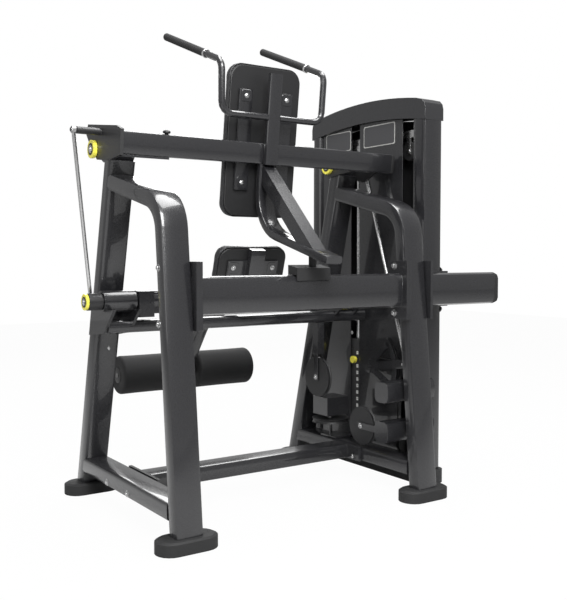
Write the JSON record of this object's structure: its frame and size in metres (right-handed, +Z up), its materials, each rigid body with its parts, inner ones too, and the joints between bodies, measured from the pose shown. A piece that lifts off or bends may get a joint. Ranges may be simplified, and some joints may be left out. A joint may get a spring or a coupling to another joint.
{
  "type": "abdominal machine",
  "caption": "Standing abdominal crunch machine: tubular frame, swinging back-pad arm with handles, hip pad with shin rollers, and a weight-stack tower.",
  "frame": {"origin": "centre of the footprint on the floor", "axes": "+Z up, +Y the way the user faces, +X to the user's right, where the weight tower stands"},
  "size_m": [1.706, 1.1996, 1.8339],
  "materials": {
    "charcoal_frame": "satin powder coat",
    "black_rubber": "moulded rubber",
    "grip_foam": "closed-cell foam",
    "pad_vinyl": "grained vinyl",
    "yellow_plastic": "gloss moulded",
    "bright_steel": "bright zinc and hard chrome",
    "black_plastic": "moulded nylon",
    "black_steel": "black powder coat",
    "weight_iron": "painted cast iron",
    "cable_jacket": "nylon jacket"
  },
  "bodies": {
    "root": {"left_front_leg": "charcoal_frame", "right_front_leg": "charcoal_frame", "left_rear_post": "charcoal_frame", "right_rear_post": "charcoal_frame", "left_side_rail": "charcoal_frame", "right_side_rail": "charcoal_frame", "left_front_foot": "black_rubber", "left_rear_foot": "black_rubber", "right_front_foot": "black_rubber", "right_rear_foot": "black_rubber", "base_cross_rail": "charcoal_frame", "lower_cross_rail": "charcoal_frame", "main_beam": "charcoal_frame", "beam_extension": "charcoal_frame", "extension_cap": "black_rubber", "beam_stop": "black_rubber", "left_pivot_carrier": "charcoal_frame", "right_pivot_carrier": "charcoal_frame", "tower_base": "black_plastic", "tower_near_column": "charcoal_frame", "tower_far_column": "charcoal_frame", "tower_cap": "charcoal_frame", "tower_near_panel": "charcoal_frame", "tower_far_panel": "charcoal_frame", "tower_back_panel": "black_plastic", "resting_weight_plates": "weight_iron", "guide_rods": "bright_steel", "hanging_pulley_fork": "charcoal_frame", "flat_pulley_stand": "charcoal_frame", "cable": "cable_jacket"},
    "upper_arm": {"crossbar": "charcoal_frame", "crossbar_cap": "black_rubber", "left_end_plate": "black_steel", "right_pivot_crank": "black_steel", "left_upper_ring_cap": "yellow_plastic", "right_upper_ring_cap": "yellow_plastic", "back_post": "charcoal_frame", "back_pad": "pad_vinyl", "left_grip": "grip_foam", "right_grip": "grip_foam", "curved_arm": "charcoal_frame"},
    "lower_arm": {"torsion_tube": "charcoal_frame", "lower_crank": "black_steel", "lower_ring_cap": "yellow_plastic", "seat_support": "charcoal_frame", "seat_pad": "pad_vinyl"},
    "left_roller": {"left_roller": "grip_foam"},
    "right_roller": {"right_roller": "grip_foam"},
    "link_rod": {"link_rod": "bright_steel"},
    "pull_rod": {"pull_rod": "bright_steel"},
    "drive_lever": {"drive_lever": "charcoal_frame"},
    "lifted_stack": {"lifted_plates": "weight_iron", "top_plate": "weight_iron"},
    "selector_pin": {"selector_pin": "yellow_plastic"},
    "head_pulley_1": {"head_pulley_1": "black_plastic"},
    "head_pulley_2": {"head_pulley_2": "black_plastic"},
    "idler_pulley": {"idler_pulley": "black_plastic"},
    "hanging_pulley": {"hanging_pulley": "black_plastic"},
    "low_pulley": {"low_pulley": "black_plastic"},
    "flat_pulley": {"flat_pulley": "black_plastic"}
  },
  "joints": [
    {"name": "upper_swing", "type": "hinge", "parent": "root", "child": "upper_arm", "pos_m": [-0.137, 0.03676, 1.328], "axis": [-1, 0, 0], "range_deg": [0, 40]},
    {"name": "lower_swing", "type": "hinge", "parent": "root", "child": "lower_arm", "pos_m": [-0.137, 0.01676, 0.778], "axis": [1, 0, 0], "range_deg": [0, 23.9]},
    {"name": "link_rod_top", "type": "hinge", "parent": "upper_arm", "child": "link_rod", "pos_m": [-0.843, -0.0234, 1.38308], "axis": [1, 0, 0], "range_deg": [0, 35]},
    {"name": "pull_rod_top", "type": "hinge", "parent": "upper_arm", "child": "pull_rod", "pos_m": [0.461, -0.04235, 1.28302], "axis": [1, 0, 0], "range_deg": [0, 41.9]},
    {"name": "lever_swing", "type": "hinge", "parent": "root", "child": "drive_lever", "pos_m": [0.456, -0.08824, 0.47], "axis": [-1, 0, 0], "range_deg": [0, 14.7]},
    {"name": "stack_lift", "type": "slide", "parent": "root", "child": "lifted_stack", "axis": [0, 0, 1], "range_m": [0, 0.0436]},
    {"name": "pin_pull", "type": "slide", "parent": "lifted_stack", "child": "selector_pin", "axis": [-1, 0, 0], "range_m": [0, 0.05]},
    {"name": "left_roller_spin", "type": "hinge", "parent": "lower_arm", "child": "left_roller", "pos_m": [-0.319, 0.51676, 0.43], "axis": [1, 0, 0], "continuous": true},
    {"name": "right_roller_spin", "type": "hinge", "parent": "lower_arm", "child": "right_roller", "pos_m": [0.045, 0.51676, 0.43], "axis": [1, 0, 0], "continuous": true},
    {"name": "head_pulley_1_turn", "type": "hinge", "parent": "root", "child": "head_pulley_1", "pos_m": [0.557, 0.06476, 1.385], "axis": [1, 0, 0], "range_deg": [0, 62.5]},
    {"name": "head_pulley_2_turn", "type": "hinge", "parent": "root", "child": "head_pulley_2", "pos_m": [0.557, -0.21824, 1.385], "axis": [1, 0, 0], "range_deg": [0, 62.5]},
    {"name": "idler_turn", "type": "hinge", "parent": "root", "child": "idler_pulley", "pos_m": [0.5065, -0.25824, 0.16], "axis": [0, 1, 0], "range_deg": [0, 49.5]},
    {"name": "hanging_pulley_spin", "type": "hinge", "parent": "root", "child": "hanging_pulley", "pos_m": [0.258, 0.03176, 0.425], "axis": [1, 0, 0], "continuous": true},
    {"name": "low_pulley_spin", "type": "hinge", "parent": "root", "child": "low_pulley", "pos_m": [0.338, -0.17424, 0.238], "axis": [1, 0, 0], "continuous": true},
    {"name": "flat_pulley_spin", "type": "hinge", "parent": "root", "child": "flat_pulley", "pos_m": [0.348, 0.06176, 0.226], "axis": [0, 0, 1], "continuous": true}
  ],
  "couplings": [
    {"joint": "lower_swing", "follows": "upper_swing", "ratio": 0.5954},
    {"joint": "link_rod_top", "follows": "upper_swing", "ratio": 0.8735},
    {"joint": "pull_rod_top", "follows": "upper_swing", "ratio": 1.0455},
    {"joint": "lever_swing", "follows": "upper_swing", "ratio": 0.3668},
    {"joint": "stack_lift", "follows": "upper_swing", "m_per_rad": 0.06236},
    {"joint": "head_pulley_1_turn", "follows": "upper_swing", "ratio": 1.559},
    {"joint": "head_pulley_2_turn", "follows": "upper_swing", "ratio": 1.559},
    {"joint": "idler_turn", "follows": "upper_swing", "ratio": 1.2348}
  ]
}
